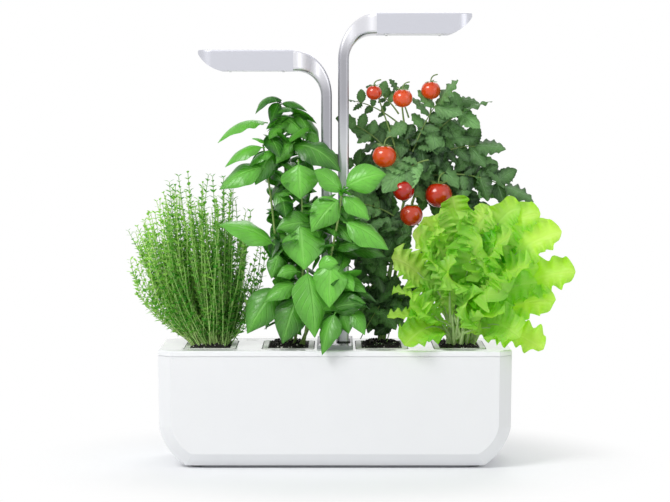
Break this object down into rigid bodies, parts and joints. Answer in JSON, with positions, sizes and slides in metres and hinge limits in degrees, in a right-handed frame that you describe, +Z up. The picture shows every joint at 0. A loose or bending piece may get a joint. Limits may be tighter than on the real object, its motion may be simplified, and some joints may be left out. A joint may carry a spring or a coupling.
{
  "type": "countertop hydroponic garden",
  "caption": "Countertop hydroponic garden: white water tank with a lift-off lid, planted cartridges in wells, and grow lamps on height-adjustable masts.",
  "frame": {"origin": "centre of the underside of the rubber base, on the worktop", "axes": "+X to the right as seen from the front, +Y to the back, +Z up"},
  "size_m": [0.556, 0.179, 0.566],
  "materials": {
    "white_body": "satin white moulded plastic",
    "white_lid": "glossy white moulded plastic",
    "base_rubber": "dark soft rubber",
    "inner_plastic": "plain grey moulded plastic",
    "black_plastic": "black plastic socket",
    "board_green": "green circuit board",
    "bush_plastic": "dark low-friction plastic",
    "console_grey": "grey moulded plastic",
    "panel_dark": "dark gloss panel",
    "lens_clear": "milky clear lens",
    "button_grey": "satin silver-grey cap",
    "dome_rubber": "silicone rubber",
    "steel_pin": "plain steel",
    "float_orange": "foamed plastic float",
    "lamp_silver": "satin anodised",
    "diffuser_milky": "milky translucent sheet",
    "led_board_white": "white lamp board",
    "led_yellow": "light chips",
    "bare_aluminium": "bare plate",
    "cable_black": "flexible lead",
    "cradle_plastic": "grey moulded basket",
    "tray_plastic": "pale moulded pot",
    "soil": "black spongy growing medium",
    "wick_felt": "pale felt",
    "thyme_leaf": "fine yellow-green foliage",
    "basil_leaf": "glossy green leaves",
    "tomato_leaf": "dark green leaves and red fruit",
    "lettuce_leaf": "bright yellow-green leaves"
  },
  "bodies": {
    "tank": {"tank_shell": "white_body", "base_pad": "base_rubber"},
    "lid": {"lid_panel": "white_lid", "dry_well": "inner_plastic", "power_jack": "black_plastic", "circuit_board": "board_green", "mast_guide": "inner_plastic", "mast_bush_right": "bush_plastic", "mast_bush_left": "bush_plastic", "console_frame": "console_grey", "control_panel": "panel_dark", "indicator_lens": "lens_clear", "button_dome": "dome_rubber", "button_seat": "inner_plastic", "fill_flap_pin": "steel_pin", "float_cage": "inner_plastic", "thyme_cradle": "cradle_plastic", "basil_cradle": "cradle_plastic", "tomato_cradle": "cradle_plastic", "lettuce_cradle": "cradle_plastic"},
    "light_button": {"light_button": "button_grey"},
    "fill_flap": {"fill_flap": "white_lid"},
    "water_float": {"water_float": "float_orange"},
    "left_lamp": {"left_mast": "lamp_silver", "left_mast_shoe": "bush_plastic", "left_neck": "lamp_silver", "left_lamp_shell": "lamp_silver", "left_diffuser": "diffuser_milky", "left_led_board": "led_board_white", "left_led_chips": "led_yellow", "left_heat_plate": "bare_aluminium", "left_lamp_screws": "steel_pin", "left_lamp_cable": "cable_black"},
    "right_lamp": {"right_mast": "lamp_silver", "right_mast_shoe": "bush_plastic", "right_neck": "lamp_silver", "right_lamp_shell": "lamp_silver", "right_diffuser": "diffuser_milky", "right_led_board": "led_board_white", "right_led_chips": "led_yellow", "right_heat_plate": "bare_aluminium", "right_lamp_screws": "steel_pin", "right_lamp_cable": "cable_black"},
    "thyme_cartridge": {"thyme_tray": "tray_plastic", "thyme_soil": "soil", "thyme_wick": "wick_felt", "thyme_plant": "thyme_leaf"},
    "basil_cartridge": {"basil_tray": "tray_plastic", "basil_soil": "soil", "basil_wick": "wick_felt", "basil_plant": "basil_leaf"},
    "tomato_cartridge": {"tomato_tray": "tray_plastic", "tomato_soil": "soil", "tomato_wick": "wick_felt", "tomato_plant": "tomato_leaf"},
    "lettuce_cartridge": {"lettuce_tray": "tray_plastic", "lettuce_soil": "soil", "lettuce_wick": "wick_felt", "lettuce_plant": "lettuce_leaf"}
  },
  "joints": [
    {"name": "lid_lift", "type": "slide", "parent": "tank", "child": "lid", "axis": [0, 0, 1], "range_m": [0, 0.17]},
    {"name": "light_button_press", "type": "slide", "parent": "lid", "child": "light_button", "axis": [0, 0, -1], "range_m": [0, 0.0012], "stiffness_N_per_m": 300, "springref_m": -0.001, "deforming": ["button_dome"]},
    {"name": "fill_flap_swing", "type": "hinge", "parent": "lid", "child": "fill_flap", "pos_m": [-0.107, 0.0765, 0.1455], "axis": [-1, 0, 0], "range_deg": [0, 95]},
    {"name": "water_float_rise", "type": "slide", "parent": "lid", "child": "water_float", "axis": [0, 0, 1], "range_m": [0, 0.05]},
    {"name": "left_lamp_height", "type": "slide", "parent": "lid", "child": "left_lamp", "axis": [0, 0, 1], "range_m": [-0.03, 0.07]},
    {"name": "right_lamp_height", "type": "slide", "parent": "lid", "child": "right_lamp", "axis": [0, 0, 1], "range_m": [-0.045, 0.025]},
    {"name": "thyme_cartridge_lift", "type": "slide", "parent": "lid", "child": "thyme_cartridge", "axis": [0, 0, 1], "range_m": [0, 0.11]},
    {"name": "basil_cartridge_lift", "type": "slide", "parent": "lid", "child": "basil_cartridge", "axis": [0, 0, 1], "range_m": [0, 0.03]},
    {"name": "tomato_cartridge_lift", "type": "slide", "parent": "lid", "child": "tomato_cartridge", "axis": [0, 0, 1], "range_m": [0, 0.03]},
    {"name": "lettuce_cartridge_lift", "type": "slide", "parent": "lid", "child": "lettuce_cartridge", "axis": [0, 0, 1], "range_m": [0, 0.11]}
  ]
}
